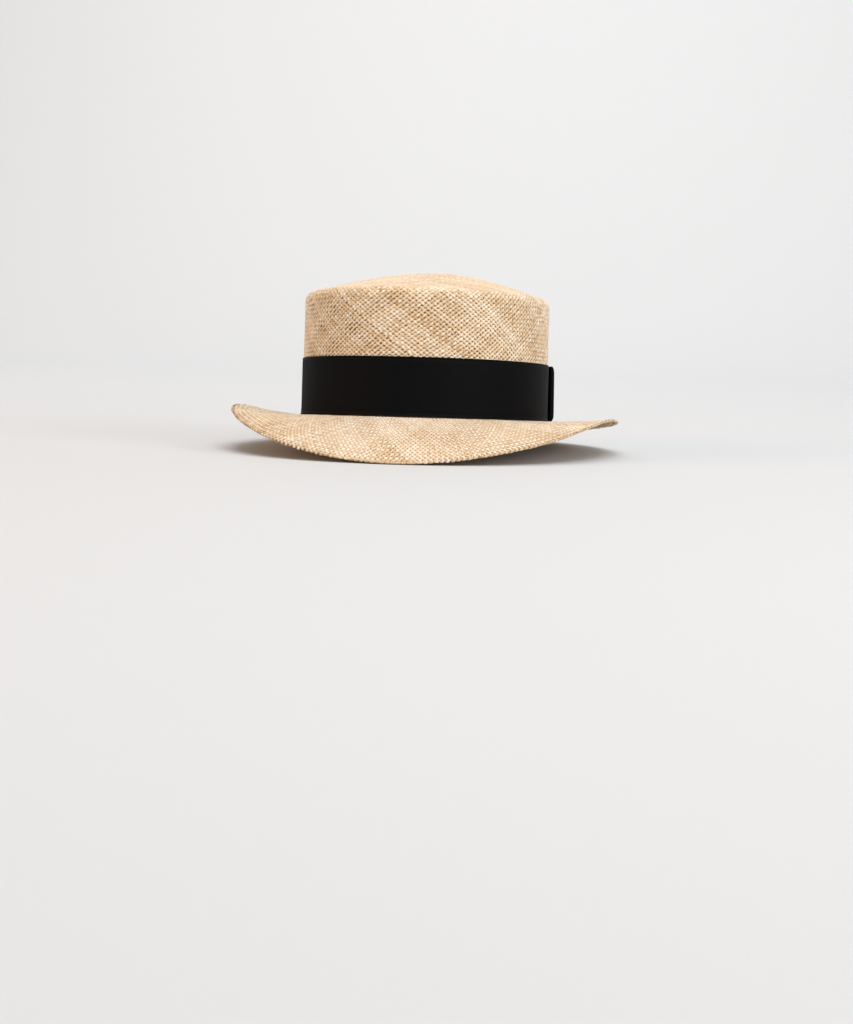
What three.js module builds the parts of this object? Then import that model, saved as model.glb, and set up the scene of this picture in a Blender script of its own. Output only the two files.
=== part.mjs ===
import * as THREE from 'three';

// A stiff woven straw hat: an upright oval crown with a domed tip, a brim that dips at the front and back,
// and a wide ribbon band with a flat bow. Millimetres, +Z up. The front faces -Y, the wearer's left is +X,
// and the hat stands on z = 0 on the front and back of its brim. Its front dips further, so it leans back.

// Driving dimensions
const STRAW = 2; // thickness of the woven straw
const GAP = 0.3; // clearance between neighbouring pieces
const CROWN_HALF_WIDTH = 83.5; // outer oval of the crown at the headline, where the brim leaves it
const CROWN_HALF_LENGTH = 103;
const WALL_HEIGHT = 78.3; // from the headline to where the rounded corner starts
const CORNER_RADIUS = 6;
const CORNER_TURN = 70; // degrees from the upright wall to the rim of the tip
const TIP_RISE = 14.5; // the domed tip above its rim
const COLLAR_HEIGHT = 12; // the brim's inner edge, turned up inside the crown
const COLLAR_THICKNESS = 1.5;
const BRIM_WIDTH = 47.8; // along the straw, from the headline to the middle of the hem
const BRIM_DROP = { front: 28.8, back: 10 }; // fall of the straw from the headline to the hem
const BRIM_LIFT = { left: 2.3, right: 6.6 }; // rise to the hem at the wearer's left and right
const SADDLE_SOFTNESS = 1.85; // how gradually the low front and back turn into the raised sides
const BRIM_ROLL = { front: 1.3, side: 2 }; // powers of the width: the sides curl up late
const HEM_RADIUS = 1.3; // the turned and pressed edge of the brim
const HEM_REST = 15; // half of the angle over which the hem's underside is level, in degrees
const HEM_STEP = 4; // least angle between the points of the hem's underside
const RIBBON_HEIGHT = 38;
const RIBBON = 1; // thickness of the ribbon
const BOW_PLACE = 119; // degrees round the oval from the front, towards the wearer's left
const BOW_REACH = 19; // degrees round the oval from the middle of the bow to the end of a loop
const LOOP_HEIGHT = 36;
const LOOP_RIBBON = 0.9;
const LOOP_EDGE_SHARE = 0.62; // how full the loop is at its upper and lower edges
const KNOT_RIBBON = 0.7;
const KNOT_WIDTH = 15;
const KNOT_STAND = 3; // from the band to the inside of the knot
const KNOT_CORNER = 2.4;

// Fineness of the facets
const SEGMENTS = 72;
const TIP_RINGS = 6;
const CORNER_STEPS = 4;
const LOOP_LEVELS = 5;
const KNOT_STEPS = 4;

const { degToRad, lerp } = THREE.MathUtils;

// Shared shapes

// Angles run round the oval from the front, and no section falls on the front itself, so that the hem
// has a facet square across the front and another across the back.
const angles = Array.from({ length: SEGMENTS }, (_, i) => ((i + 0.5) / SEGMENTS) * 2 * Math.PI);

function ovalPoint(angle, inset, z) {
  const x = (CROWN_HALF_WIDTH - inset) * Math.sin(angle);
  const y = -(CROWN_HALF_LENGTH - inset) * Math.cos(angle);
  return new THREE.Vector3(x, y, z);
}

function ovalNormal(angle) {
  const x = Math.sin(angle) / CROWN_HALF_WIDTH;
  const y = -Math.cos(angle) / CROWN_HALF_LENGTH;
  return new THREE.Vector3(x, y, 0).normalize();
}

function ovalRing(inset, z) {
  return angles.map((angle) => ovalPoint(angle, inset, z));
}

function volume(points, index) {
  let sum = 0;
  for (let i = 0; i < index.length; i += 3) {
    const [a, b, c] = [points[index[i]], points[index[i + 1]], points[index[i + 2]]];
    sum += a.dot(b.clone().cross(c));
  }
  return sum / 6;
}

// One closed body through rings of points. A ring of one point is a pole. A closed loft joins its last
// ring to its first.
function loft(rings, closed = false) {
  const sides = Math.max(...rings.map((ring) => ring.length));
  const points = rings.flat();
  const starts = rings.map((_, i) => rings.slice(0, i).flat().length);
  const at = (ring, side) => starts[ring] + (side % rings[ring].length);
  const index = [];
  for (let i = 0; i < rings.length - (closed ? 0 : 1); i++) {
    const next = (i + 1) % rings.length;
    for (let j = 0; j < sides; j++) {
      if (rings[next].length > 1) index.push(at(i, j), at(next, j), at(next, j + 1));
      if (rings[i].length > 1) index.push(at(i, j), at(next, j + 1), at(i, j + 1));
    }
  }
  if (volume(points, index) < 0) index.reverse();
  const geometry = new THREE.BufferGeometry().setFromPoints(points);
  geometry.setIndex(index);
  return geometry;
}

const straw = new THREE.MeshStandardMaterial({ color: '#dcbf9b', roughness: 0.7, metalness: 0 });
const ribbon = new THREE.MeshStandardMaterial({ color: '#1b1b1d', roughness: 0.6, metalness: 0 });

function piece(name, geometry, material) {
  geometry.computeVertexNormals();
  const mesh = new THREE.Mesh(geometry, material);
  mesh.name = name;
  return mesh;
}

// Crown: an upright oval wall, a rounded corner and a domed tip, open below

// The rings of one face of the crown, from the top of the dome down to the foot of the wall.
function crownFace(depth) {
  const turn = degToRad(CORNER_TURN);
  const radius = CORNER_RADIUS - depth;
  const rimInset = depth + radius * (1 - Math.cos(turn));
  const rimHeight = WALL_HEIGHT + radius * Math.sin(turn);
  const top = WALL_HEIGHT + CORNER_RADIUS * Math.sin(turn) + TIP_RISE - depth;
  const rings = [[new THREE.Vector3(0, 0, top)]];
  for (let i = 1; i < TIP_RINGS; i++) {
    const out = Math.sin((i / TIP_RINGS) * (Math.PI / 2));
    const z = lerp(top, rimHeight, out * out);
    rings.push(angles.map((angle) => ovalPoint(angle, rimInset, 0).multiplyScalar(out).setZ(z)));
  }
  for (let i = 0; i <= CORNER_STEPS; i++) {
    const around = turn * (1 - i / CORNER_STEPS);
    rings.push(ovalRing(depth + radius * (1 - Math.cos(around)), WALL_HEIGHT + radius * Math.sin(around)));
  }
  rings.push(ovalRing(depth, WALL_HEIGHT / 2));
  rings.push(ovalRing(depth, GAP));
  return rings;
}

function makeCrown() {
  const outside = crownFace(0);
  const inside = crownFace(STRAW).reverse();
  return piece('crown', loft([...outside, ...inside]), straw);
}

// Brim: one sheet of straw with a collar inside the crown, a saddle shape and a round hem

// The share of the fall that is left at an angle: 1 at the front and back, 0 at the sides.
function fallShare(angle) {
  const soft = (value) => Math.hypot(value, SADDLE_SOFTNESS) - SADDLE_SOFTNESS;
  return soft(Math.cos(angle)) / soft(1);
}

function hemRise(angle) {
  const side = (1 + Math.sin(angle)) / 2;
  const share = fallShare(angle);
  const drop = Math.cos(angle) > 0 ? BRIM_DROP.front : BRIM_DROP.back;
  return lerp(BRIM_LIFT.right, BRIM_LIFT.left, side) * (1 - share) - drop * share;
}

// A point on the middle of the brim's sheet: out runs from 0 at the headline to 1 at the hem.
function brimPoint(angle, out) {
  const rise = hemRise(angle);
  const reach = Math.sqrt(BRIM_WIDTH ** 2 - rise ** 2);
  const roll = lerp(BRIM_ROLL.side, BRIM_ROLL.front, fallShare(angle));
  const point = ovalPoint(angle, 0, rise * out ** roll - STRAW / 2);
  return point.addScaledVector(ovalNormal(angle), reach * out);
}

// The slope of the sheet along its width, as an angle above the level.
function brimSlope(angle, out) {
  const step = 0.01;
  const from = brimPoint(angle, Math.max(out - step, 0));
  const to = brimPoint(angle, out + step);
  return Math.atan2(to.z - from.z, Math.hypot(to.x - from.x, to.y - from.y));
}

// A point beside the middle of the sheet, in the upright plane square to the oval.
function besideBrim(angle, out, direction, distance) {
  const point = brimPoint(angle, out).addScaledVector(ovalNormal(angle), distance * Math.cos(direction));
  point.z += distance * Math.sin(direction);
  return point;
}

const BRIM_ROWS = [0.04, 0.12, 0.26, 0.44, 0.62, 0.8, 0.94]; // shares of the brim's width
const COLLAR_FOOT = [
  // inset from the crown's outer face, and height from the headline, on the inner side of the bend
  { inset: 0.6, height: -2 },
  { inset: 2.6, height: -1.2 },
  { inset: STRAW + GAP + COLLAR_THICKNESS, height: 1 },
];

// How far the hat leans back when it stands on the front and the back of its hem, as a turn about X.
const frontHem = brimPoint(angles[0], 1);
const backHem = brimPoint(angles[SEGMENTS / 2], 1);
const LEAN = Math.atan2(frontHem.z - backHem.z, backHem.y - frontHem.y);

// The directions in which the points of the round hem lie from its middle, over the top and underneath.
function hemDirections(angle) {
  const down = LEAN * Math.cos(angle) - Math.PI / 2;
  const slope = brimSlope(angle, 1);
  const over = slope + Math.PI / 2;
  const under = slope - Math.PI / 2;
  const below = Math.max(down + degToRad(HEM_REST), under + degToRad(2 * HEM_STEP));
  const behind = Math.max(down - degToRad(HEM_REST), under + degToRad(HEM_STEP));
  return [over, lerp(over, below, 1 / 3), lerp(over, below, 2 / 3), below, behind, under];
}

function brimSection(angle) {
  const outer = STRAW + GAP;
  const inner = outer + COLLAR_THICKNESS;
  const half = STRAW / 2;
  const over = BRIM_ROWS.map((out) => besideBrim(angle, out, brimSlope(angle, out) + Math.PI / 2, half));
  const hem = hemDirections(angle).map((direction) => besideBrim(angle, 1, direction, HEM_RADIUS));
  const under = BRIM_ROWS.map((out) => besideBrim(angle, out, brimSlope(angle, out) - Math.PI / 2, half));
  const foot = COLLAR_FOOT.map(({ inset, height }) => ovalPoint(angle, inset, height));
  return [
    ovalPoint(angle, outer, COLLAR_HEIGHT),
    ovalPoint(angle, outer, 0),
    ovalPoint(angle, 0, 0),
    ...over,
    ...hem,
    ...under.reverse(),
    ...foot,
    ovalPoint(angle, inner, COLLAR_HEIGHT),
  ];
}

function makeBrim() {
  return piece('brim', loft(angles.map(brimSection), true), straw);
}

// Ribbon band: a flat ribbon drawn round the foot of the crown

function makeBand() {
  const flat = (inset) => ovalRing(inset, 0).map(({ x, y }) => new THREE.Vector2(x, y));
  const outline = new THREE.Shape(flat(-GAP - RIBBON));
  outline.holes.push(new THREE.Path(flat(-GAP)));
  const geometry = new THREE.ExtrudeGeometry(outline, { depth: RIBBON_HEIGHT, bevelEnabled: false });
  geometry.translate(0, 0, GAP);
  return piece('ribbon_band', geometry, ribbon);
}

// Bow: two flat loops of the same ribbon, laid along the band at the wearer's left and held by a knot

const BAND_MIDDLE = GAP + RIBBON_HEIGHT / 2;
const LOOP_PATH = [
  // along: share of the way from the middle of the bow to the end of the loop; stand: off the band
  { along: 0.04, stand: 0.8 },
  { along: 0.25, stand: 0.8 },
  { along: 0.5, stand: 0.8 },
  { along: 0.75, stand: 0.8 },
  { along: 0.93, stand: 0.85 },
  { along: 0.975, stand: 1.15 },
  { along: 0.99, stand: 2 },
  { along: 0.975, stand: 2.85 },
  { along: 0.93, stand: 3.3 },
  { along: 0.8, stand: 3.5 },
  { along: 0.65, stand: 3.45 },
  { along: 0.5, stand: 3.1 },
  { along: 0.38, stand: 2.55 },
  { along: 0.25, stand: 2.1 },
  { along: 0.04, stand: 2.05 },
];
const LOOP_FIRST_STAND = LOOP_PATH[0].stand;

// A point off the outer face of the band.
function offBand(angle, stand, z) {
  const point = ovalPoint(angle, -GAP - RIBBON, z);
  return point.addScaledVector(ovalNormal(angle), stand);
}

// The loop's ribbon along its path. The outer run lies closer to the band at its upper and lower edges.
function makeLoop(name, side) {
  const place = ({ along, stand }, level) => {
    const edge = Math.abs(level) ** 4;
    const eased = lerp(stand, lerp(LOOP_FIRST_STAND, stand, LOOP_EDGE_SHARE), edge);
    const angle = degToRad(BOW_PLACE + side * along * BOW_REACH);
    return offBand(angle, eased, BAND_MIDDLE + (level * LOOP_HEIGHT) / 2);
  };
  const levels = Array.from({ length: LOOP_LEVELS }, (_, i) => lerp(-1, 1, i / (LOOP_LEVELS - 1)));
  const up = new THREE.Vector3(0, 0, 1);
  const sections = LOOP_PATH.map((row, i) => {
    const before = LOOP_PATH[Math.max(i - 1, 0)];
    const after = LOOP_PATH[Math.min(i + 1, LOOP_PATH.length - 1)];
    const faces = [1, -1].map((face) => levels.map((level) => {
      const across = place(after, level).sub(place(before, level)).setZ(0).normalize().cross(up);
      return place(row, level).addScaledVector(across, (face * LOOP_RIBBON) / 2);
    }));
    return [...faces[0], ...faces[1].reverse()];
  });
  const first = [place(LOOP_PATH[0], 0)];
  const last = [place(LOOP_PATH.at(-1), 0)];
  return piece(name, loft([first, ...sections, last]), ribbon);
}

// The knot's profile in the upright plane square to the band: x off the band, y up. It passes over the
// loops and turns in to the band above and below them.
function makeKnot() {
  const foot = GAP;
  const back = KNOT_STAND;
  const face = KNOT_STAND + KNOT_RIBBON;
  const inside = LOOP_HEIGHT / 2 + GAP;
  const outside = inside + KNOT_RIBBON;
  const bend = KNOT_CORNER - KNOT_RIBBON;
  const profile = new THREE.Shape();
  profile.moveTo(foot, outside);
  profile.lineTo(foot, inside);
  profile.absarc(back - bend, inside - bend, bend, Math.PI / 2, 0, true);
  profile.absarc(back - bend, bend - inside, bend, 0, -Math.PI / 2, true);
  profile.lineTo(foot, -inside);
  profile.lineTo(foot, -outside);
  profile.absarc(face - KNOT_CORNER, KNOT_CORNER - outside, KNOT_CORNER, -Math.PI / 2, 0, false);
  profile.absarc(face - KNOT_CORNER, outside - KNOT_CORNER, KNOT_CORNER, 0, Math.PI / 2, false);
  const options = { depth: KNOT_WIDTH, bevelEnabled: false, curveSegments: KNOT_STEPS };
  const geometry = new THREE.ExtrudeGeometry(profile, options);
  geometry.translate(0, 0, -KNOT_WIDTH / 2);
  const knot = piece('bow_knot', geometry, ribbon);
  const angle = degToRad(BOW_PLACE);
  const out = ovalNormal(angle);
  const up = new THREE.Vector3(0, 0, 1);
  knot.setRotationFromMatrix(new THREE.Matrix4().makeBasis(out, up, out.clone().cross(up)));
  knot.position.copy(offBand(angle, 0, BAND_MIDDLE));
  return knot;
}

// The hat, set down on its brim with its middle over the origin

const hat = new THREE.Group();
hat.add(makeCrown(), makeBrim(), makeBand());
hat.add(makeLoop('bow_loop_front', -1), makeLoop('bow_loop_rear', 1), makeKnot());
hat.rotation.x = LEAN;
const box = new THREE.Box3().setFromObject(hat, true);
const middle = box.getCenter(new THREE.Vector3());
hat.position.set(-middle.x, -middle.y, -box.min.z);

export default hat;
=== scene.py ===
import math

import bpy
import numpy as np
from mathutils import Matrix, Vector


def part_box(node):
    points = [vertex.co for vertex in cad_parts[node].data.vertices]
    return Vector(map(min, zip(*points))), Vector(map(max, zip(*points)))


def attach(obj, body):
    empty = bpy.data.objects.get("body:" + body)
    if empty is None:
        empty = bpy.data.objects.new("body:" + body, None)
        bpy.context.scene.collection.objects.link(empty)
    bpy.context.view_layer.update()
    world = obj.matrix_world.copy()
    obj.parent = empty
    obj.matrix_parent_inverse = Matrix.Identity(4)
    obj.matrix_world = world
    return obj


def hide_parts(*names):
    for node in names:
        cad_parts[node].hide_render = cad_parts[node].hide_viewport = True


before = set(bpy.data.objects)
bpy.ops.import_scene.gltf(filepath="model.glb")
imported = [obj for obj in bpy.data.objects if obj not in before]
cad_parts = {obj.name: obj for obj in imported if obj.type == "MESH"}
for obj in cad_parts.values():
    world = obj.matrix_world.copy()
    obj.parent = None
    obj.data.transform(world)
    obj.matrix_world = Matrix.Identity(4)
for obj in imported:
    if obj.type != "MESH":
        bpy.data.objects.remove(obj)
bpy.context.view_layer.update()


# Crown, the ground of the cloth: one body of stiff straw, woven on the bias, then damped and blocked to an
# upright oval wall with a domed tip. This is the closed ground between the strands, deep in their shade.
# Sizes are millimetres from the headline, where the brim leaves the crown. The front faces -Y.
MM = 0.001
LEAN = math.radians(-3.695)  # the hat stands on a brim that dips further in front, so it leans back
BAND_MIDDLE = 19.3  # height of the middle of the ribbon band
HALF_WIDTH, HALF_LENGTH = 83.5, 103.0  # outside of the crown at the headline
STRAW = 2.0  # thickness of the woven sheet
WALL_FOOT, WALL_TOP = 0.3, 77.0  # heights between which the wall is upright
CORNER_RADIUS, CORNER_TURN = 7.5, math.radians(70)  # of the rounded edge between the wall and the tip
TIP_RISE = 16.1  # of the dome above its rim
TIP_BELL = 0.26  # the dome lies between a parabola and, at 1, a bell that runs out flat at the rim
TIP_SHIFT = (4.8, 7.2)  # of the dome's top, to the wearer's left and back
GROUND = 0.2  # thickness of the ground
CROWN_POINTS = 144  # round the oval
CORNER_STEPS, DOME_STEPS = 8, 32  # up the crown's section
WALL_ROWS = (0.3, 12, 24, 36, 48, 60, 70, 77, 79, 81, 83)  # along the sheet, from the headline
TIP_ROWS = (84.9, 90, 100, 110, 120, 130, 140, 150, 160, 168)

band_low, band_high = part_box("ribbon_band")
lean = Matrix.Rotation(LEAN, 4, "X")
headline = (Vector(band_low) + Vector(band_high)) / 2 - lean @ Vector((0, 0, BAND_MIDDLE * MM))
stand = Matrix.Translation(headline) @ lean @ Matrix.Scale(MM, 4)


def open_tube(name, rows, points):
    """A straight tube of that many rows, one unit apart, to be shaped by its rows and angles."""
    bpy.ops.object.select_all(action="DESELECT")
    bpy.ops.mesh.primitive_circle_add(vertices=points, radius=1)
    piece = bpy.context.object
    piece.name = piece.data.name = name
    bpy.ops.object.mode_set(mode="EDIT")
    bpy.ops.mesh.select_all(action="SELECT")
    for _ in range(rows - 1):
        bpy.ops.mesh.extrude_region_move(TRANSFORM_OT_translate={"value": (0, 0, 1)})
    bpy.ops.object.mode_set(mode="OBJECT")
    return piece


def corners_of(piece):
    """The x, y and z of a piece's corners, each as one array."""
    points = np.empty(len(piece.data.vertices) * 3)
    piece.data.vertices.foreach_get("co", points)
    return points.reshape(-1, 3).T


def move_corners(piece, points):
    """Moves a piece's corners to these points, in the same order."""
    piece.data.vertices.foreach_set("co", np.ascontiguousarray(points).ravel())
    piece.data.update()


def thicken(piece, thickness):
    """Closes a sheet to a wall, half to each side, and sets it down where the hat stands."""
    SAME_PLACE = 0.001  # corners closer than that are merged
    SHARP_EDGE = math.radians(40)
    bpy.ops.object.mode_set(mode="EDIT")
    bpy.ops.mesh.select_all(action="SELECT")
    bpy.ops.mesh.remove_doubles(threshold=SAME_PLACE)
    bpy.ops.mesh.normals_make_consistent(inside=False)
    bpy.ops.object.mode_set(mode="OBJECT")
    bpy.ops.object.modifier_add(type="SOLIDIFY")
    piece.modifiers[-1].thickness = thickness
    piece.modifiers[-1].offset = 0
    bpy.ops.object.modifier_apply(modifier=piece.modifiers[-1].name)
    bpy.ops.object.shade_smooth_by_angle(angle=SHARP_EDGE)
    piece.data.transform(stand)


def oval_normal(angle):
    """The way straight out from the crown's oval, across and back, at each angle round it."""
    across, back = np.sin(angle) / HALF_WIDTH, -np.cos(angle) / HALF_LENGTH
    length = np.hypot(across, back)
    return across / length, back / length


def beside_oval(angle, away, height):
    """Points that far outside the crown's oval and that high, at each angle round it."""
    x, y = oval_normal(angle)
    across, back = HALF_WIDTH * np.sin(angle) + x * away, -HALF_LENGTH * np.cos(angle) + y * away
    return np.stack(np.broadcast_arrays(across, back, height), axis=-1)


def even_turn(outset):
    """The angle round the oval for each share of the way round it, measured that far outside it."""
    STEPS = 1440
    angle = np.linspace(0, 2 * np.pi, STEPS + 1)
    x, y, _ = beside_oval(angle, outset, 0).T
    run = np.concatenate([[0], np.cumsum(np.hypot(np.diff(x), np.diff(y)))])
    return lambda share: np.interp(share % 1, run / run[-1], angle)


corner = np.linspace(0, CORNER_TURN, CORNER_STEPS + 1)
dome = np.linspace(1, 0, DOME_STEPS + 1)[1:]
rim_row = len(corner)  # of the section, where the corner ends and the dome starts
middle_radius = CORNER_RADIUS - STRAW / 2
corner_inset = STRAW / 2 + middle_radius * (1 - np.cos(corner))
corner_height = WALL_TOP + middle_radius * np.sin(corner)
rim_height = corner_height[-1]
dome_top = WALL_TOP + CORNER_RADIUS * math.sin(CORNER_TURN) + TIP_RISE - STRAW / 2
dome_share = (1 - TIP_BELL) * (1 - dome**2) + TIP_BELL * (1 + np.cos(np.pi * dome)) / 2
dome_fall = (1 - TIP_BELL) * 2 * dome + TIP_BELL * np.pi / 2 * np.sin(np.pi * dome)
dome_height = rim_height + (dome_top - rim_height) * dome_share
rim_width, rim_length = HALF_WIDTH - corner_inset[-1], HALF_LENGTH - corner_inset[-1]
section_width = np.concatenate([[HALF_WIDTH - STRAW / 2], HALF_WIDTH - corner_inset, rim_width * dome])
section_length = np.concatenate([[HALF_LENGTH - STRAW / 2], HALF_LENGTH - corner_inset, rim_length * dome])
section_height = np.concatenate([[WALL_FOOT], corner_height, dome_height])
section_mean = (section_width + section_length) / 2
dome_slope = np.arctan((dome_top - rim_height) * dome_fall / section_mean[rim_row])
section_tilt = np.concatenate([[0], corner, np.pi / 2 - dome_slope])
section_shift = np.concatenate([[0], 0 * corner, dome_share])
section_climb = WALL_FOOT + np.concatenate(
    [[0], np.cumsum(np.hypot(np.diff(section_mean), np.diff(section_height)))]
)
crown_turn = even_turn(0)


def on_crown(share, climb, lift):
    """Points that far round the oval and up the sheet from the headline, lifted off its middle."""
    angle = crown_turn(share)
    sections = (section_width, section_length, section_height, section_tilt, section_shift)
    width, length, height, tilt, shift = (np.interp(climb, section_climb, section) for section in sections)
    x, y = oval_normal(angle)
    out = lift * np.cos(tilt)
    across = width * np.sin(angle) + x * out + TIP_SHIFT[0] * shift
    back = -length * np.cos(angle) + y * out + TIP_SHIFT[1] * shift
    return np.stack(np.broadcast_arrays(across, back, height + lift * np.sin(tilt)), axis=-1)


climbs = np.array(WALL_ROWS + TIP_ROWS + (section_climb[-1],))
crown_ground = open_tube("crown_ground", len(climbs), CROWN_POINTS)
x, y, row = corners_of(crown_ground)
share = np.arctan2(x, -y) / (2 * np.pi)
move_corners(crown_ground, on_crown(share, climbs[np.rint(row).astype(int)], 0))
thicken(crown_ground, GROUND)


def linear(hex_colour):
    """An sRGB hex colour as the linear values that a shader works in."""
    parts = [int(hex_colour[i : i + 2], 16) / 255 for i in (1, 3, 5)]
    return tuple(c / 12.92 if c <= 0.04045 else ((c + 0.055) / 1.055) ** 2.4 for c in parts) + (1,)


def add_node(tree, kind, values=None, links=None, stops=(), **settings):
    """Adds a node with its settings, the values of its sockets, the links into it and its colour stops."""
    node = tree.nodes.new(kind)
    for name, value in settings.items():
        setattr(node, name, value)
    for socket, value in (values or {}).items():
        node.inputs[socket].default_value = value
    for socket, source in (links or {}).items():
        tree.links.new(source, node.inputs[socket])
    for number, (place, colour) in enumerate(stops):  # a new ramp has two stops
        elements = node.color_ramp.elements
        element = elements[number] if number < 2 else elements.new(place)
        element.position = place
        element.color = linear(colour)
    return node


def new_material(name):
    """A new material, its node tree and its shader."""
    material = bpy.data.materials.new(name)
    material.use_nodes = True
    tree = material.node_tree
    return material, tree, tree.nodes["Principled BSDF"]


# Straw between the strands, seen only in their shade: dull stalk with cloudy patches, coloured dark and
# brown as painted shade.
def ground_material(name, dark, pale):
    PATCH = 14 * MM
    material, tree, shader = new_material(name)
    shader.inputs["Roughness"].default_value = 0.85
    places = add_node(tree, "ShaderNodeTexCoord").outputs["Object"]
    patches = add_node(
        tree, "ShaderNodeTexNoise", {"Scale": 1 / PATCH, "Detail": 3}, {"Vector": places}
    ).outputs["Fac"]
    colour = add_node(
        tree, "ShaderNodeValToRGB", links={"Fac": patches}, stops=[(0.35, dark), (0.65, pale)]
    ).outputs["Color"]
    tree.links.new(colour, shader.inputs["Base Color"])
    return material


# The crown's ground is painted dark brown, as painted shade in the holes of the weave.
crown_ground.data.materials.append(ground_material("shaded_straw", "#5f452f", "#76583d"))
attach(crown_ground, "root")
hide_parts("crown")


# Crown, the strands: split straw, some 2 mm wide, in a plain weave on the bias. One set of strands climbs to
# the wearer's left and the other to the right, in two stretches that meet under the edge of the ribbon. On
# the tip, where the rounds get short, strands are dropped at each ring, down to a small rosette.
STRAND_SETS = (  # which way round the hat a set climbs, and how pale it is on the crown
    {"side": "left", "way": 1, "paleness": 0.32},
    {"side": "right", "way": -1, "paleness": 0.28},
)
FOOT_START = 10.0  # where the strands come out from behind the brim's collar, inside the crown
WEAVE_START = 36.5  # under the upper edge of the band, where the two stretches meet
STRAND_ROW = 1.45  # up the sheet from one crossing of a strand to its next
TIP_STRAND_ROW = 1.65
STRAND_PITCH = 2.35  # from one strand to the next on the wall
STRAND_WAVE = 0.5  # how far a strand rises and sinks at its crossings, at that pitch
STRAND_STAND = 0.2  # of the weave's middle outside the ground's, where the relief is full
STRAND_BIAS = 0.04  # one set of strands is slacker and lies that much higher, the other lower
STRAND_TUCK = 0.1  # of the ends of the strands into the cloth
STRAND_DRIFT = 0.045  # of the strands from their even places, as a share of the spacing
STRAND_FILL = 0.92  # strand width at a crossing as a share of the spacing
STRAND_WAIST = 0.89  # width between two crossings as a share of that
STRAND_FLATNESS = 0.85  # thickness as a share of half the width
STRAND_SECTION = ((-1, -0.12), (-0.5, 0.42), (0.5, 0.42), (1, -0.12), (0, -0.5))  # half widths, thicknesses
ROW_WAVES = (  # slow waves of the rows: how high, how many round the hat, and climb for a radian's shift
    {"rise": 0.3, "waves": 7, "climb": 6},
    {"rise": 0.2, "waves": 17, "climb": -4},
)
TIP_RINGS = (  # strands each way, and where they stop as a share of the way out from the middle of the tip
    {"strands": 144, "stop": 0.83},
    {"strands": 108, "stop": 0.62},
    {"strands": 80, "stop": 0.46},
    {"strands": 60, "stop": 0.34},
    {"strands": 44, "stop": 0.25},
    {"strands": 32, "stop": 0.18},
    {"strands": 24, "stop": 0.13},
    {"strands": 16, "stop": 0.09},
    {"strands": 12, "stop": 0.055},
    {"strands": 8, "stop": 0.02},
    {"strands": 6, "stop": 0.0},
)
BUNDLE_WAVES = np.arange(4, 34)  # round the hat
BUNDLE_TONE, STALK_TONE, GRAIN_TONE = 0.06, 0.045, 0.085  # spread of paleness: bundles, stalks, crossings
BUNDLE_RISE, GRAIN_RISE = 0.12, 0.05  # spread of height: bundles, where tight ones lie low, and crossings
STALK_WIDTH, STALK_LIMITS = 0.03, (0.92, 1.06)  # spread of the width from stalk to stalk
GRAIN_WIDTH = 0.04  # spread of the width from crossing to crossing
RELIEF_SHADE_TONE, EDGE_SHADE_TONE = 0.17, 0.18  # painted highlight on the tops of the crossings, painted shade in the dips and along the edges
TIP_RELIEF, TIP_EVENNESS = 0.25, 0.4  # on the tip the cloth was pressed flatter, and bundles differ less
TIP_PRESSED = (-8, 3)  # from the rim, where the pressing starts and where it is full
STRAW_TONES = [(0.25, "#bf9266"), (0.45, "#dabc95"), (0.65, "#edd8bb"), (0.85, "#faf0e1")]
STRAW_PATCH = "#dfc09a"
chance = np.random.default_rng(8)


def bundles_round(spread):
    """A slow change round the hat, because neighbouring strands come from one bundle of stalks."""
    waves = BUNDLE_WAVES.size
    height, phase = chance.normal(0, 1, waves), chance.uniform(0, 2 * np.pi, waves)
    scale = spread / math.sqrt(waves / 2)
    return lambda share: scale * np.cos(2 * np.pi * np.outer(share, BUNDLE_WAVES) + phase) @ height


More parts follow.
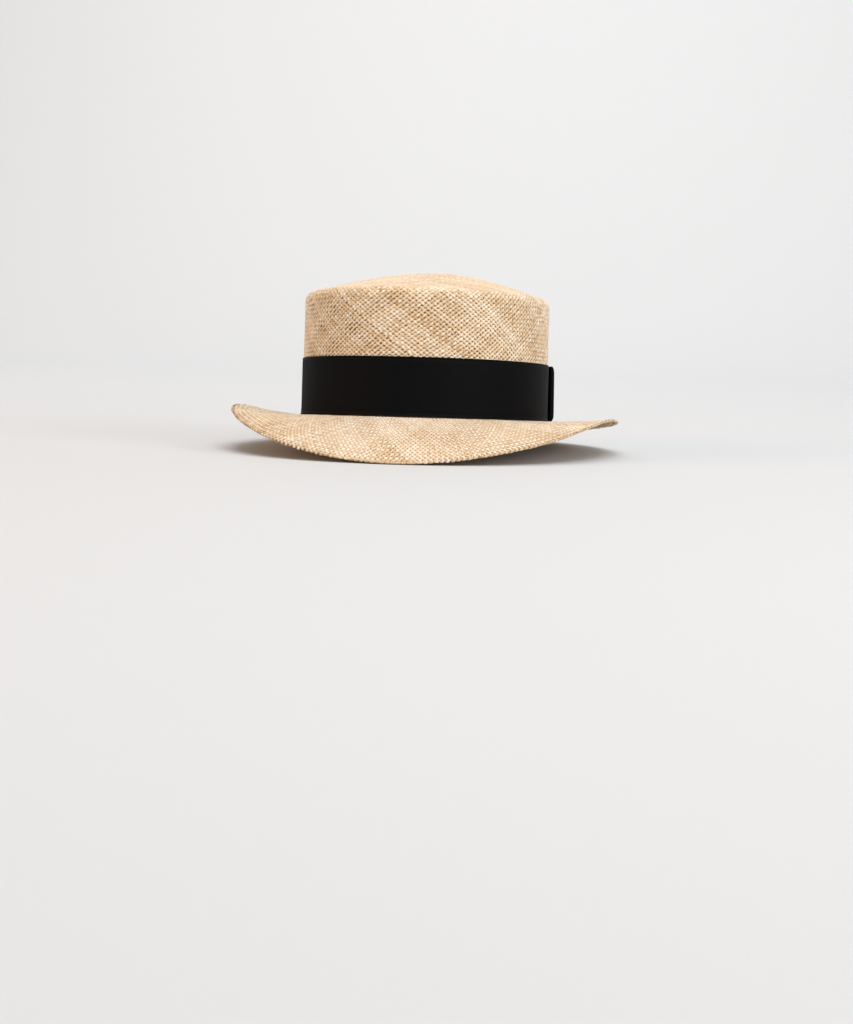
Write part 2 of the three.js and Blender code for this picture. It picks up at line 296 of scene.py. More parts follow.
def weave(place, start, row_step, rows, way, turned, stand_off, raised, relief, tuck):
    """One set of strands of a plain weave: middle lines, ways out of the cloth, half widths, and painted
    shade with random tone.
    """
    strands = len(raised)
    climb = np.arange(2 * rows + 1) / 2  # in rows, with a point at each crossing and one between
    crossing = climb % 1 == 0
    drift, grain, widening = chance.normal(0, 1, (3, strands, climb.size)) * crossing
    number = np.arange(strands)[:, None] + STRAND_DRIFT * (drift + chance.normal(0, 1, (strands, 1)))
    share = turned + (number + way * climb / 2) / strands
    up = start + row_step * climb + np.zeros_like(share)
    up += sum(
        wave["rise"] * np.sin(2 * np.pi * wave["waves"] * share + up / wave["climb"]) for wave in ROW_WAVES
    )
    # The way of the strand over one row, and that of the strands that cross it.
    quarter = way / (4 * strands)
    own = place(share + quarter, up + row_step / 2, 0) - place(share - quarter, up - row_step / 2, 0)
    other = place(share - quarter, up + row_step / 2, 0) - place(share + quarter, up - row_step / 2, 0)
    spacing = np.linalg.norm(np.cross(own, other), axis=-1) / np.linalg.norm(own, axis=-1)
    depth = relief(share, up)
    over = np.cos(np.pi * (climb + (way < 0)))  # 1 over a strand of the other set, -1 under it
    lift = depth * (STRAND_WAVE * over + raised[:, None] + GRAIN_RISE * grain + stand_off)
    lift *= spacing / STRAND_PITCH
    lift[:, 0] -= tuck / 2
    lift[:, -2:] = [-tuck / 2, -tuck]
    path, above = place(share, up, lift), place(share, up, lift + 1)
    half_width = spacing / 2 * (1 - depth**3 * (1 - STRAND_FILL * np.where(crossing, 1, STRAND_WAIST)))
    stalk_width = np.clip(chance.normal(1, STALK_WIDTH, (strands, 1)), *STALK_LIMITS)
    half_width *= stalk_width * (1 + GRAIN_WIDTH * widening)
    # Painted highlight on the tops of the crossings and painted shade in the dips, with the relief, plus a
    # random tone for each crossing.
    shade_and_grain = np.sqrt(depth) * RELIEF_SHADE_TONE * over + np.minimum(2 * depth, 1) * GRAIN_TONE * grain
    # Painted shade along the strands' edges, which darkens the gaps between them.
    edges = depth[..., None] * EDGE_SHADE_TONE * (np.abs(np.array(STRAND_SECTION)[:, 0]) == 1)
    return path, above - path, half_width, shade_and_grain[..., None] - edges


def bake_places(strands, points, sides, columns, first_row):
    """Places on the bake map of strands' sides and ends: a row for each strand, or columns of short ones."""
    END, SPOT, MARGIN = 0.01, 0.009, 0.05  # shares of a row: middle and radius of an end's spot, free sides
    row, column = np.divmod(np.arange(strands), columns)
    row, column = row[:, None, None, None] + first_row, column[:, None, None, None]
    along = (np.arange(points - 1)[:, None, None] + np.array([0, 0, 1, 1])) / (points - 1)
    u = (column + 2 * END + (1 - 4 * END) * along) / columns
    v = row + np.array([MARGIN, 1 - MARGIN, 1 - MARGIN, MARGIN])
    quads = np.stack(np.broadcast_arrays(u, v, np.zeros((sides, 1)))[:2], -1)
    turn = 2 * np.pi * np.arange(sides) / sides
    u = (column[:, 0] + np.array([[END], [1 - END]]) + SPOT * np.cos(turn)) / columns
    v = row[:, 0] + 0.5 + (0.5 - MARGIN) * np.sin(turn)
    ends = np.stack(np.broadcast_arrays(u, v), -1)
    return quads.reshape(-1, 2), ends.reshape(-1, 2)


def lay_strands(name, bundles, flatness):
    """One piece of flat closed strands along the given middle lines, with what their material reads."""
    section = np.array(STRAND_SECTION)
    sides = len(section)
    longest = max(path.shape[1] for path, *_ in bundles)
    corners, quads, ends, quad_places, end_places = [], [], [], [], []
    marks = {"tone": [], "run": [], "breadth": [], "grain_and_shade": []}
    first_corner = first_row = 0
    for path, outward, half_width, shade_and_grain, paleness in bundles:
        strands, points, _ = path.shape
        forward = np.gradient(path, axis=1)
        sideways = np.cross(forward, outward)
        sideways /= np.linalg.norm(sideways, axis=-1, keepdims=True)
        breadth = half_width[..., None] * section[:, 0]
        depth = flatness * half_width[..., None] * section[:, 1]
        ring = path[:, :, None] + sideways[:, :, None] * breadth[..., None]
        ring = ring + outward[:, :, None] * depth[..., None]
        corners.append(ring.reshape(-1, 3))
        index = first_corner + np.arange(strands * points * sides).reshape(strands, points, sides)
        beside = np.roll(index, -1, axis=2)
        quad = np.stack([index[:, :-1], beside[:, :-1], beside[:, 1:], index[:, 1:]], -1)
        quads.append(quad.reshape(-1, 4))
        ends.append(np.stack([index[:, 0, ::-1], index[:, -1]], 1).reshape(-1, sides))
        first_corner += index.size
        lengths = np.linalg.norm(np.diff(path, axis=1), axis=-1)
        run = np.concatenate([np.zeros((strands, 1)), np.cumsum(lengths, axis=1)], axis=1)
        tone = paleness + chance.normal(0, STALK_TONE, strands)
        marks["tone"].append(np.repeat(tone, points * sides))
        marks["run"].append(np.repeat(run.ravel(), sides))
        marks["breadth"].append(np.tile(section[:, 0], strands * points))
        # The painted highlight and shade of the weave, with each crossing's random tone.
        marks["grain_and_shade"].append(shade_and_grain.ravel())
        columns = max(longest // points, 1)
        quad_place, end_place = bake_places(strands, points, sides, columns, first_row)
        quad_places.append(quad_place)
        end_places.append(end_place)
        first_row += math.ceil(strands / columns)
    mesh = bpy.data.meshes.new(name)
    faces = np.concatenate(quads).tolist() + np.concatenate(ends).tolist()
    mesh.from_pydata(np.concatenate(corners), [], faces)
    for mark, values in marks.items():
        mesh.attributes.new(mark, "FLOAT", "POINT").data.foreach_set("value", np.concatenate(values))
    places = np.concatenate(quad_places + end_places)
    places[:, 1] /= first_row
    mesh.uv_layers.new(name="OFBake").data.foreach_set("uv", places.ravel())
    mesh.shade_smooth()
    mesh.transform(stand)
    piece = bpy.data.objects.new(name, mesh)
    bpy.context.collection.objects.link(piece)
    return piece


# Split straw: the shiny outside of a dried stalk, pale gold, each strand from another stalk, so that tones
# change from strand to strand and along each. Fine fibres run lengthwise, and cloudy patches are browner.
def straw_material(name, tones, patch_tone):
    FIBRE = 0.3  # drawn coarser than the real fibres of 0.05 mm, to show at all
    FIBRE_LENGTH = 10 * FIBRE
    MOTTLE = 9.0  # along a strand
    PATCH = 22 * MM
    MOTTLE_TONE, FIBRE_TONE = 0.3, 0.15
    APART = 200.0  # tones that differ by 1 read the patterns at places that far apart
    material, tree, shader = new_material(name)
    shader.inputs["Specular IOR Level"].default_value = 0.35
    tone, run, breadth, grain_and_shade = (
        add_node(tree, "ShaderNodeAttribute", attribute_name=mark).outputs["Fac"]
        for mark in ("tone", "run", "breadth", "grain_and_shade")
    )
    apart = add_node(tree, "ShaderNodeMath", {1: APART}, {0: tone}, operation="MULTIPLY").outputs[0]
    spots = add_node(tree, "ShaderNodeCombineXYZ", links={"X": run, "Y": apart}).outputs[0]
    mottle = add_node(
        tree, "ShaderNodeTexNoise", {"Scale": 1 / MOTTLE, "Detail": 2}, {"Vector": spots}
    ).outputs["Fac"]
    wide = add_node(tree, "ShaderNodeMath", {1: 1 / FIBRE}, {0: breadth}, operation="MULTIPLY").outputs[0]
    long = add_node(tree, "ShaderNodeMath", {1: 1 / FIBRE_LENGTH}, {0: run}, operation="MULTIPLY").outputs[0]
    threads = add_node(tree, "ShaderNodeCombineXYZ", links={"X": wide, "Y": long, "Z": apart}).outputs[0]
    fibre = add_node(
        tree, "ShaderNodeTexNoise", {"Scale": 1.0, "Detail": 2}, {"Vector": threads}
    ).outputs["Fac"]
    pale = add_node(
        tree, "ShaderNodeMath", {1: MOTTLE_TONE}, {0: mottle, 2: tone}, operation="MULTIPLY_ADD"
    ).outputs[0]
    pale = add_node(
        tree, "ShaderNodeMath", {1: FIBRE_TONE}, {0: fibre, 2: pale}, operation="MULTIPLY_ADD"
    ).outputs[0]
    # Adds the painted highlight and shade of the weave, with each crossing's random tone.
    pale = add_node(tree, "ShaderNodeMath", links={0: pale, 1: grain_and_shade}, operation="ADD").outputs[0]
    colour = add_node(tree, "ShaderNodeValToRGB", links={"Fac": pale}, stops=tones).outputs["Color"]
    places = add_node(tree, "ShaderNodeTexCoord").outputs["Object"]
    clouds = add_node(
        tree, "ShaderNodeTexNoise", {"Scale": 1 / PATCH, "Detail": 3, "Roughness": 0.6}, {"Vector": places}
    ).outputs["Fac"]
    browner = add_node(
        tree, "ShaderNodeMapRange", {"From Min": 0.5, "From Max": 0.75, "To Max": 0.35}, {"Value": clouds}
    ).outputs["Result"]
    patched = add_node(
        tree,
        "ShaderNodeMix",
        {"B": linear(patch_tone)},
        {"Factor": browner, "A": colour},
        data_type="RGBA",
        blend_type="MULTIPLY",
    ).outputs["Result"]
    tree.links.new(patched, shader.inputs["Base Color"])
    rough = add_node(tree, "ShaderNodeMapRange", {"To Min": 0.28, "To Max": 0.48}, {"Value": fibre})
    tree.links.new(rough.outputs["Result"], shader.inputs["Roughness"])
    bump = add_node(tree, "ShaderNodeBump", {"Strength": 0.35, "Distance": 0.05 * MM}, {"Height": fibre})
    tree.links.new(bump.outputs["Normal"], shader.inputs["Normal"])
    return material


split_straw = straw_material("split_straw", STRAW_TONES, STRAW_PATCH)
rim_climb = section_climb[rim_row]
tip_length = section_climb[-1] - rim_climb


def crown_relief(share, up):
    """The relief of the crown's weave at each place: full on the wall, and pressed on the tip."""
    return np.interp(up, rim_climb + np.array(TIP_PRESSED), (1, TIP_RELIEF))


foot_rows = round((WEAVE_START - FOOT_START) / STRAND_ROW)
foot_start = WEAVE_START - foot_rows * STRAND_ROW
foot_shares = np.arange(TIP_RINGS[0]["strands"]) / TIP_RINGS[0]["strands"]
for strand_set in STRAND_SETS:
    way = strand_set["way"]
    raised = way * STRAND_BIAS + bundles_round(BUNDLE_RISE)(foot_shares)
    turned = -way * foot_rows / 2 / len(foot_shares)
    course = (on_crown, foot_start, STRAND_ROW, foot_rows, way, turned)
    laid = weave(*course, STRAND_STAND, raised, crown_relief, STRAND_TUCK)
    tones = strand_set["paleness"] + bundles_round(BUNDLE_TONE)(foot_shares)
    foot_strands = lay_strands("foot_strands_" + strand_set["side"], [laid + (tones,)], STRAND_FLATNESS)
    foot_strands.data.materials.append(split_straw)
    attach(foot_strands, "root")

chance = np.random.default_rng(7)
for strand_set in STRAND_SETS:
    way = strand_set["way"]
    bundles = []
    tones, heights = bundles_round(BUNDLE_TONE), bundles_round(BUNDLE_RISE)
    start, row, turned = WEAVE_START, STRAND_ROW, 0
    for ring in TIP_RINGS:
        evenness = 1 if start < rim_climb else TIP_EVENNESS
        stop = rim_climb + tip_length * (1 - ring["stop"])
        rows = max(round((stop - start) / row), 2)
        overlap = 1 if ring["stop"] > 0 else 0
        shares = np.arange(ring["strands"]) / ring["strands"]
        raised = way * STRAND_BIAS + evenness * heights(shares)
        course = (on_crown, start, (stop - start) / rows, rows + overlap, way, turned)
        laid = weave(*course, STRAND_STAND, raised, crown_relief, STRAND_TUCK)
        bundles.append(laid + (strand_set["paleness"] + evenness * tones(shares),))
        start, row, turned = stop, TIP_STRAND_ROW, turned + way * rows / 2 / ring["strands"]
    crown_strands = lay_strands("crown_strands_" + strand_set["side"], bundles, STRAND_FLATNESS)
    crown_strands.data.materials.append(split_straw)
    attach(crown_strands, "root")


# Brim, the ground of the cloth: a sheet of the same straw, pressed to a saddle that dips in front and a
# little behind and lifts at the sides. Its inner edge is turned up inside the crown and sewn there.
BRIM_WIDTH = 47.8  # along the straw, from the headline to the middle of the hem
DROP_FRONT, DROP_BACK = 28.8, 10.0
LIFT_LEFT, LIFT_RIGHT = 2.3, 6.6
SADDLE_SOFTNESS = 1.85  # how gradually the low front and back turn into the raised sides
ROLL_FRONT, ROLL_SIDE = 1.3, 2.0  # powers of the width: the sides curl up late
COLLAR = ((3.05, 12), (3.05, 6), (3.05, 1.6), (2.4, 0.2), (0.9, -0.8))  # inset from the crown, and height
BRIM_ROWS = (2, 6, 12, 18, 24, 30, 36, 42, 46, 47.3)
BRIM_WAVES = (  # slight waves of the hem at the wearer's left: where, how far up, and how short
    {"place": math.radians(70), "rise": 2.4, "short": 18},
    {"place": math.radians(104), "rise": -1.2, "short": 12},
)
BRIM_WIDER = 1.2  # at the wearer's left
brim_turn = even_turn(BRIM_WIDTH / 2)


def brim_form(angle):
    """The hem's rise and reach from the headline at each angle, and the power of the curve between."""
    soft = np.hypot(np.cos(angle), SADDLE_SOFTNESS) - SADDLE_SOFTNESS
    share = soft / (math.hypot(1, SADDLE_SOFTNESS) - SADDLE_SOFTNESS)
    lifted = LIFT_RIGHT + (LIFT_LEFT - LIFT_RIGHT) * (1 + np.sin(angle)) / 2
    dropped = np.where(np.cos(angle) > 0, DROP_FRONT, DROP_BACK)
    rise = lifted * (1 - share) - dropped * share
    for wave in BRIM_WAVES:
        rise = rise + wave["rise"] * np.exp(wave["short"] * (np.cos(angle - wave["place"]) - 1))
    width = BRIM_WIDTH + BRIM_WIDER * np.maximum(np.sin(angle), 0) ** 4
    return rise, np.sqrt(width**2 - rise**2), ROLL_SIDE + (ROLL_FRONT - ROLL_SIDE) * share


def way_out(along):
    """The share of the way from the headline to the hem, kept above nothing for the powers taken of it."""
    LEAST = 0.001
    return np.maximum(along / BRIM_WIDTH, LEAST)


def brim_slope(angle, along):
    """The angle at which the brim climbs outwards, that far along it from the headline."""
    rise, reach, roll = brim_form(angle)
    return np.arctan2(rise * roll * way_out(along) ** (roll - 1), reach)


def off_brim(angle, along, outward, upward):
    """Points that far along the brim from the headline, moved outwards and up from its middle."""
    rise, reach, roll = brim_form(angle)
    out = way_out(along)
    return beside_oval(angle, reach * out + outward, rise * out**roll - STRAW / 2 + upward)


def on_brim(share, along, lift):
    """Points that far round the brim and out along it from the headline, lifted off its middle."""
    angle = brim_turn(share)
    slope = brim_slope(angle, along)
    return off_brim(angle, along, -lift * np.sin(slope), lift * np.cos(slope))


brim_ground = open_tube("brim_ground", len(COLLAR) + len(BRIM_ROWS), CROWN_POINTS)
x, y, row = corners_of(brim_ground)
angle, row = np.arctan2(x, -y), np.rint(row).astype(int)
inset, height = np.array(COLLAR)[np.minimum(row, len(COLLAR) - 1)].T
across, back = (HALF_WIDTH - inset) * np.sin(angle), -(HALF_LENGTH - inset) * np.cos(angle)
collar_places = np.stack([across, back, height], -1)
brim_places = off_brim(angle, np.array(BRIM_ROWS)[np.maximum(row - len(COLLAR), 0)], 0, 0)
move_corners(brim_ground, np.where((row < len(COLLAR))[:, None], collar_places, brim_places))
thicken(brim_ground, GROUND)
# The brim's ground is painted brown as painted shade in the holes of the weave, paler than the crown's
# because the brim is lit more from above.
brim_ground.data.materials.append(ground_material("shaded_brim_straw", "#8a6b4c", "#a38360"))
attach(brim_ground, "root")
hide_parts("brim")


# Brim, the strands and the hem: the same plain weave on the bias, in which one set of strands leads on each
# side. At the edge the strands are turned round and back under, which leaves a thin hem like a twisted cord,
# toothed by the slanting strands.
BRIM_STRANDS = 250
BRIM_STRAND_ROW = 1.6
BRIM_START, HEM_INSET = 0.6, 0.3  # of the strands' ends, from the headline and from the hem
BRIM_TUCK = 0.3
BRIM_RELIEF = {"front": 0.8, "left": 0.65, "right": 1.15}  # against the crown's, from the pressing
# The brim's strands are painted paler than the crown's, as painted light on the brim.
BRIM_LIT_PALENESS = 0.385
BRIM_EVENNESS = 0.5  # its bundles differ that much less
BRIM_SIDE_SHADE = 0.17  # its sides are painted that much browner, as painted shade where the brim is seen at a slant
LEAD_PLACES = (-0.5, -0.3, -0.1, 0.1, 0.3)  # across the brim, where the wearer's right is -1 and the left 1
LEADS = (-0.3, -1.2, -1.2, 0, 1)  # at each place: how far the set that climbs to the left leads the other
LEAD_RISE, LEAD_SHEEN_TONE = 0.07, 0.09  # a set that leads lies that much higher, and is painted that much paler as painted sheen
HEM_RADIUS, HEM_RAGGED, HEM_LIMITS = 0.5, 0.35, (0.4, 1.8)  # and its spread from strand to strand
HEM_FILL, HEM_FILL_SPREAD = 0.56, 0.06  # strand width as a share of the spacing
HEM_FLATNESS = 0.5
# The hem is painted browner than the brim, as painted shade on its lower side; HEM_TONE is its random
# spread.
HEM_SHADE_PALENESS, HEM_TONE = 0.28, 0.1
HEM_SLANT = 0.2  # to each side, as a share of the spacing
HEM_TURN = np.radians(np.linspace(110, -130, 8))  # round the edge, from the upper side to the lower
brim_shares = np.arange(BRIM_STRANDS) / BRIM_STRANDS


def brim_relief(share, up):
    """The relief of the brim's weave at each place, between its values in front and at the sides."""
    across = np.sin(2 * np.pi * share)
    side = np.where(across > 0, BRIM_RELIEF["left"], BRIM_RELIEF["right"])
    return BRIM_RELIEF["front"] + (side - BRIM_RELIEF["front"]) * across**2


brim_run = BRIM_WIDTH - HEM_INSET - BRIM_START
brim_rows = round(brim_run / BRIM_STRAND_ROW)
for strand_set in STRAND_SETS:
    way = strand_set["way"]
    across = np.sin(2 * np.pi * (brim_shares + way * brim_rows / 4 / BRIM_STRANDS))
    lead = way * np.interp(across, LEAD_PLACES, LEADS)
    raised = LEAD_RISE * lead + BRIM_EVENNESS * bundles_round(BUNDLE_RISE)(brim_shares)
    course = (on_brim, BRIM_START, brim_run / brim_rows, brim_rows, way, 0)
    laid = weave(*course, 0, raised, brim_relief, BRIM_TUCK)
    tones = BRIM_LIT_PALENESS + BRIM_EVENNESS * bundles_round(BUNDLE_TONE)(brim_shares)
    # The leading set is painted paler, as painted sheen on the strands that run across the view.
    # The sides of the brim are painted browner, as painted shade.
    tones += LEAD_SHEEN_TONE * lead - BRIM_SIDE_SHADE * across**2
    brim_strands = lay_strands("brim_strands_" + strand_set["side"], [laid + (tones,)], STRAND_FLATNESS)
    brim_strands.data.materials.append(split_straw)
    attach(brim_strands, "root")

hem_number = np.arange(BRIM_STRANDS)[:, None] + np.linspace(HEM_SLANT, -HEM_SLANT, len(HEM_TURN))
hem_angle = brim_turn(hem_number / BRIM_STRANDS)
hem_direction = brim_slope(hem_angle, BRIM_WIDTH) + HEM_TURN
hem_radius = HEM_RADIUS * np.clip(chance.normal(1, HEM_RAGGED, (BRIM_STRANDS, 1)), *HEM_LIMITS)
outward, upward = np.cos(hem_direction), np.sin(hem_direction)
hem_path = off_brim(hem_angle, BRIM_WIDTH, outward * hem_radius, upward * hem_radius)
hem_above = off_brim(hem_angle, BRIM_WIDTH, outward * (hem_radius + 1), upward * (hem_radius + 1))
hem_pitch = np.linalg.norm(np.diff(hem_path[:, 0], axis=0, append=hem_path[:1, 0]), axis=-1)
hem_half_width = np.repeat(hem_pitch[:, None] / 2 * HEM_FILL, len(HEM_TURN), axis=1)
hem_half_width *= chance.normal(1, HEM_FILL_SPREAD, (BRIM_STRANDS, 1))
hem_shade_and_grain = np.zeros(hem_half_width.shape + (len(STRAND_SECTION),))
hem_tones = chance.normal(HEM_SHADE_PALENESS, HEM_TONE, BRIM_STRANDS)
hem_laid = (hem_path, hem_above - hem_path, hem_half_width, hem_shade_and_grain, hem_tones)
hem = lay_strands("brim_hem", [hem_laid], HEM_FLATNESS)
hem.data.materials.append(split_straw)
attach(hem, "root")


# Ribbon band: black grosgrain, 38 mm wide, drawn tight round the foot of the crown and sewn behind the bow.
# Ribs run across the ribbon, and its two edges are smooth woven selvages.
RIBBON_FOOT, RIBBON_HEIGHT = 0.3, 38.0
RIBBON_STAND = 0.5  # from the crown to the middle of the ribbon
RIBBON_THICKNESS = 0.7
RIBBON_FLARE, FLARE_HEIGHT = 0.5, 5.0  # its lower edge stands out over the brim
RIBBON_SLACK = 0.12  # slow waves round the crown, where it doesn't lie tight
RIB = 0.95  # from one rib to the next
RIB_DEPTH = 0.05
SELVAGE = 1.5
SELVAGE_LINE, SELVAGE_LINE_WIDTH = 0.14, 0.2  # depth and width of the line between selvage and ribs
SCALLOP = 0.12  # the filling threads turn at the edges of the ribbon, which leaves them finely toothed
RIBBON_ROWS = (0, 0.5, 1.1, 1.5, 1.9, 4, 9, 14, 19, 24, 29, 34, 36.1, 36.5, 36.9, 37.5, 38)
BAND_LENGTH = 588.0  # once round the crown
band_ribs = round(BAND_LENGTH / RIB)


def rib_relief(count, height):
    """How far each point stands out from the flat ribbon: ribs inside the selvages, a line along them."""
    edge = np.minimum(height, RIBBON_HEIGHT - height)
    ribbed = np.where(count % 2 == 0, RIB_DEPTH, -RIB_DEPTH) * (edge > SELVAGE)
    return ribbed - SELVAGE_LINE * (np.abs(edge - SELVAGE) < SELVAGE_LINE_WIDTH / 2)


ribbon_band = open_tube("band_ribbon", len(RIBBON_ROWS), 2 * band_ribs)
x, y, row = corners_of(ribbon_band)
share = np.arctan2(x, -y) / (2 * np.pi) % 1
count = np.rint(share * 2 * band_ribs)
height = np.array(RIBBON_ROWS)[np.rint(row).astype(int)]
angle = crown_turn(share)
stand_off = RIBBON_STAND + RIBBON_FLARE * np.clip(1 - height / FLARE_HEIGHT, 0, 1) ** 2
stand_off += rib_relief(count, height)
stand_off += RIBBON_SLACK * np.sin(3 * angle + 1) * np.sin(np.pi * height / RIBBON_HEIGHT)
edge = np.where(height == RIBBON_HEIGHT, 1, 0) - np.where(height == 0, 1, 0)
tooth = SCALLOP * np.where(count % 2 == 0, edge, -edge)
move_corners(ribbon_band, beside_oval(angle, stand_off, RIBBON_FOOT + height + tooth))
thicken(ribbon_band, RIBBON_THICKNESS)

# Black grosgrain: dyed rayon over cotton ribs, near black, dull face on, with a soft shine at a slant.
THREAD = 0.4 * MM  # drawn coarser than the real threads of 0.1 mm, to show at all
grosgrain, tree, shader = new_material("black_grosgrain")
shader.inputs["Roughness"].default_value = 0.6
shader.inputs["Specular IOR Level"].default_value = 0.06
shader.inputs["Sheen Weight"].default_value = 0.015
shader.inputs["Sheen Roughness"].default_value = 0.3
places = add_node(tree, "ShaderNodeTexCoord").outputs["Object"]
threads = add_node(
    tree, "ShaderNodeTexNoise", {"Scale": 1 / THREAD, "Detail": 2}, {"Vector": places}
).outputs["Fac"]
colour = add_node(
    tree, "ShaderNodeValToRGB", links={"Fac": threads}, stops=[(0.3, "#060607"), (0.7, "#0c0c0e")]
).outputs["Color"]
tree.links.new(colour, shader.inputs["Base Color"])
bump = add_node(tree, "ShaderNodeBump", {"Strength": 0.3, "Distance": 0.05 * MM}, {"Height": threads})
tree.links.new(bump.outputs["Normal"], shader.inputs["Normal"])
ribbon_band.data.materials.append(grosgrain)
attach(ribbon_band, "root")
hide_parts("ribbon_band")


# Bow loops: two flat loops of the same ribbon, laid along the band at the wearer's left, folded at their
# ends and caught under the knot in the middle.
BOW_PLACE, BOW_REACH = math.radians(119), math.radians(19)  # round the crown, from the front
LOOP_HEIGHT = 38.0
LOOP_THICKNESS = 0.7
LOOP_FLARE = 0.1  # share by which the loop is fuller below than in its middle
LOOP_EDGE_SHARE = 0.5  # how full the loop is at its upper and lower edges, which roll in
LOOP_EDGE_POWER = 16  # how close to the edges the roll starts
BAND_FACE = 0.95  # from the crown to the outside of the band
LOOP_PATH = (  # share of the way to the end of the loop, and height off the band
    (0.04, 0.85), (0.25, 0.85), (0.5, 0.85), (0.75, 0.85), (0.93, 0.9), (0.975, 1.15), (0.995, 2.4),
    (0.985, 3.7), (0.95, 4.2), (0.8, 4.4), (0.65, 4.2), (0.5, 3.6), (0.38, 2.7), (0.25, 2.1), (0.04, 2.05),
)


def rounded(points, times=3):
    """The path with its corners cut that many times."""
    CUT = 0.25  # share of each stretch that goes at each end
    for _ in range(times):
        near = points[:-1] * (1 - CUT) + points[1:] * CUT
        far = points[:-1] * CUT + points[1:] * (1 - CUT)
        cut = np.stack([near, far], 1).reshape(-1, points.shape[1])
        points = np.concatenate([points[:1], cut, points[-1:]])
    return points


def run_along(points):
    """The length of a path up to each of its points."""
    return np.concatenate([[0], np.cumsum(np.linalg.norm(np.diff(points, axis=0), axis=1))])


def flat_grid(name, columns, rows):
    """A flat grid two units square, to be shaped by its columns and rows."""
    bpy.ops.object.select_all(action="DESELECT")
    bpy.ops.mesh.primitive_grid_add(x_subdivisions=columns, y_subdivisions=rows, size=2)
    piece = bpy.context.object
    piece.name = piece.data.name = name
    return piece


loop_path = rounded(np.array(LOOP_PATH))
loop_rows = np.array(RIBBON_ROWS) * LOOP_HEIGHT / RIBBON_HEIGHT
lower_layer = LOOP_PATH[0][1]
for name, node, side in (("bow_front", "bow_loop_front", -1), ("bow_rear", "bow_loop_rear", 1)):
    loop_angle = BOW_PLACE + side * loop_path[:, 0] * BOW_REACH
    run = run_along(beside_oval(loop_angle, BAND_FACE + loop_path[:, 1], 0))
    loop_ribs = round(run[-1] / RIB)
    loop = flat_grid(name, 2 * loop_ribs, len(loop_rows) - 1)
    x, y, _ = corners_of(loop)
    count = np.rint((x + 1) * loop_ribs)
    level = np.rint((y + 1) / 2 * (len(loop_rows) - 1)).astype(int)
    along = np.interp(count / (2 * loop_ribs) * run[-1], run, loop_path[:, 0])
    off = np.interp(count / (2 * loop_ribs) * run[-1], run, loop_path[:, 1])
    up = loop_rows[level] / LOOP_HEIGHT
    edge = np.abs(up * 2 - 1) ** LOOP_EDGE_POWER
    off += (lower_layer + (off - lower_layer) * LOOP_EDGE_SHARE - off) * edge
    off += (off - lower_layer) * LOOP_FLARE * (1 - 2 * up)
    turned = np.where(count > loop_ribs, 1, -1)
    off += turned * rib_relief(count, np.array(RIBBON_ROWS)[level])
    height = BAND_MIDDLE - LOOP_HEIGHT / 2 + loop_rows[level]
    move_corners(loop, beside_oval(BOW_PLACE + side * along * BOW_REACH, BAND_FACE + off, height))
    thicken(loop, LOOP_THICKNESS)
    loop.data.materials.append(grosgrain)
    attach(loop, "root")
    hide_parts(node)


# Bow knot: a short length of narrower ribbon with soft pleats, passed over the middle of the loops and
# turned in to the band above and below them.
KNOT_WIDTH = 15.0
KNOT_STAND = 3.35  # from the band to the middle of the knot's face
KNOT_END = 0.35  # from the band to its turned-in ends
KNOT_HALF_HEIGHT = 18.65
KNOT_CORNER, KNOT_CORNER_STEPS = 2.05, 6
KNOT_THICKNESS = 0.6
KNOT_COLUMNS = 24
KNOT_PLEATS, PLEAT_DEPTH = 3, 0.22
KNOT_ROLL = 0.25  # of its two sides towards the band
KNOT_RIBBED = 0.95  # share of the width with ribs
FACE_START, FACE_RISE = 1.2, 2.0  # from that height off the band, over that rise, pleats and ribs set in
bend = np.linspace(0, np.pi / 2, KNOT_CORNER_STEPS + 1)
bend_off = KNOT_STAND - KNOT_CORNER + KNOT_CORNER * np.sin(bend)
bend_height = -KNOT_HALF_HEIGHT + KNOT_CORNER * (1 - np.cos(bend))
lower = np.concatenate([[(KNOT_END, -KNOT_HALF_HEIGHT)], np.stack([bend_off, bend_height], 1)])
knot_path = np.concatenate([lower, (lower * (1, -1))[::-1]])
run = run_along(knot_path)
knot_ribs = round(run[-1] / RIB)
knot = flat_grid("bow_tie", KNOT_COLUMNS, 2 * knot_ribs)
x, y, _ = corners_of(knot)
count = np.rint((y + 1) * knot_ribs)
off = np.interp(count / (2 * knot_ribs) * run[-1], run, knot_path[:, 0])
height = np.interp(count / (2 * knot_ribs) * run[-1], run, knot_path[:, 1])
facing = np.clip((off - FACE_START) / FACE_RISE, 0, 1)
pleats = PLEAT_DEPTH * np.cos(KNOT_PLEATS * np.pi * x) - KNOT_ROLL * x**4
off += facing * (pleats + np.where(count % 2 == 0, RIB_DEPTH, -RIB_DEPTH) * (np.abs(x) < KNOT_RIBBED))
out_across, out_back = oval_normal(BOW_PLACE)
knot_places = beside_oval(BOW_PLACE, BAND_FACE + off, BAND_MIDDLE + height)
knot_places[:, 0] += -out_back * x * KNOT_WIDTH / 2
knot_places[:, 1] += out_across * x * KNOT_WIDTH / 2
move_corners(knot, knot_places)
thicken(knot, KNOT_THICKNESS)
knot.data.materials.append(grosgrain)
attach(knot, "root")
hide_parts("bow_knot")


# Studio, in metres: a pale seamless sweep, a soft light above the front, one at the right, a weaker warm one
# at the left and one on the backdrop. The camera is in front, at the height of the crown and a little to
# the wearer's left.
SWEEP_HALF_WIDTH, SWEEP_FRONT, SWEEP_BACK, SWEEP_TOP = 5.0, -5.0, 2.6, 4.0
SWEEP_CURVE, SWEEP_CURVE_STEPS = 1.2, 24
HAT_MIDDLE = (0, 0, 0.05)


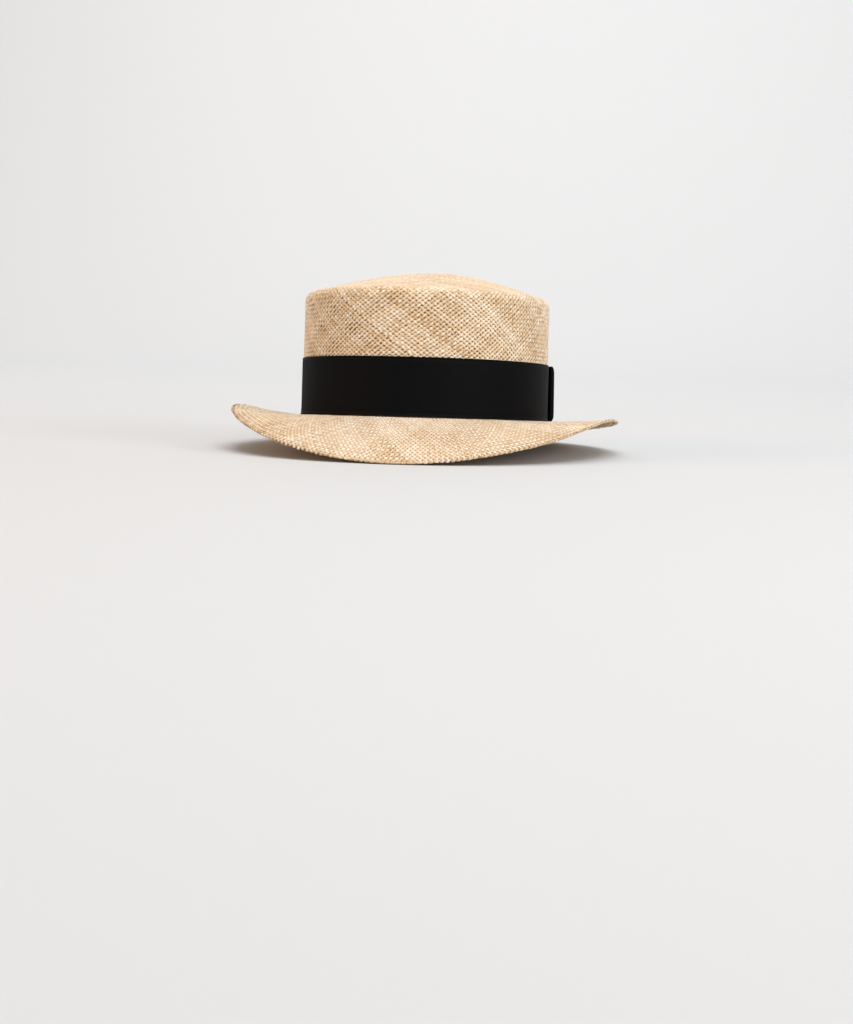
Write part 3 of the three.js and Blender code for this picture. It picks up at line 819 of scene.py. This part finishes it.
def select_edges(piece, wanted):
    """Goes into edit mode with only those edges selected whose two ends are both wanted."""
    bpy.ops.object.mode_set(mode="EDIT")
    bpy.ops.mesh.select_mode(type="EDGE")
    bpy.ops.mesh.select_all(action="DESELECT")
    bpy.ops.object.mode_set(mode="OBJECT")
    for edge in piece.data.edges:
        edge.select = all(wanted(piece.data.vertices[end].co) for end in edge.vertices)
    bpy.ops.object.mode_set(mode="EDIT")


bpy.ops.object.select_all(action="DESELECT")
bpy.ops.mesh.primitive_plane_add(size=2)
floor = bpy.context.object
floor.name = floor.data.name = "floor"
x, y, z = corners_of(floor)
move_corners(floor, np.stack([x * SWEEP_HALF_WIDTH, np.where(y > 0, SWEEP_BACK, SWEEP_FRONT), z], -1))
select_edges(floor, lambda place: place.y > 0)
bpy.ops.mesh.extrude_region_move(TRANSFORM_OT_translate={"value": (0, 0, SWEEP_TOP)})
select_edges(floor, lambda place: place.y > 0 and place.z == 0)
bpy.ops.mesh.bevel(offset=SWEEP_CURVE, segments=SWEEP_CURVE_STEPS, profile=0.5, affect="EDGES")
bpy.ops.object.mode_set(mode="OBJECT")
bpy.ops.object.shade_smooth()

# Pale paper: matt, even, near white.
paper, tree, shader = new_material("pale_paper")
shader.inputs["Base Color"].default_value = linear("#d7d8d9")
shader.inputs["Roughness"].default_value = 0.9
floor.data.materials.append(paper)


def soft_light(name, place, aim, size, power, colour):
    """A square light of that size in metres and power in watts, turned towards its aim."""
    bpy.ops.object.select_all(action="DESELECT")
    bpy.ops.object.light_add(type="AREA", location=place)
    light = bpy.context.object
    light.name = name
    light.rotation_euler = (Vector(aim) - Vector(place)).to_track_quat("-Z", "Y").to_euler()
    light.data.size = size
    light.data.energy = power
    light.data.color = linear(colour)[:3]


soft_light("light_above", (0.5, -1.05, 1.65), HAT_MIDDLE, 1.4, 21, "#ffffff")
soft_light("light_right", (2.1, -1.2, 0.9), HAT_MIDDLE, 1.0, 19, "#ffffff")
soft_light("light_left", (-2.0, -0.9, 0.9), HAT_MIDDLE, 1.0, 13.5, "#ffcd9a")
soft_light("light_back", (-0.2, 1.0, 2.6), (-0.2, 2.6, 1.0), 1.6, 44, "#ffffff")
world = bpy.data.worlds.new("studio")
bpy.context.scene.world = world
world.use_nodes = True
world.node_tree.nodes["Background"].inputs["Color"].default_value = linear("#f4f4f4")
world.node_tree.nodes["Background"].inputs["Strength"].default_value = 0.42
bpy.context.scene.view_settings.view_transform = "Standard"

CAMERA_YAW, CAMERA_PITCH, CAMERA_ROLL = (math.radians(turn) for turn in (-7.634, 1.959, 1.664))
CAMERA_OFFSET = Vector((-1.3, 1495.63, 64.845))  # of the headline's middle: right, ahead and up, in mm
CAMERA_LENS = 76.12
aim = Matrix.Rotation(CAMERA_ROLL, 4, "Y") @ Matrix.Rotation(CAMERA_PITCH, 4, "X")
aim = Matrix.Translation(CAMERA_OFFSET * MM) @ aim @ Matrix.Rotation(CAMERA_YAW, 4, "Z")
bpy.ops.object.camera_add()
camera = bpy.context.object
camera.name = "camera"
camera.data.lens = CAMERA_LENS
camera.matrix_world = (
    Matrix.Translation(headline) @ lean @ aim.inverted() @ Matrix.Rotation(math.radians(90), 4, "X")
)
bpy.context.scene.camera = camera
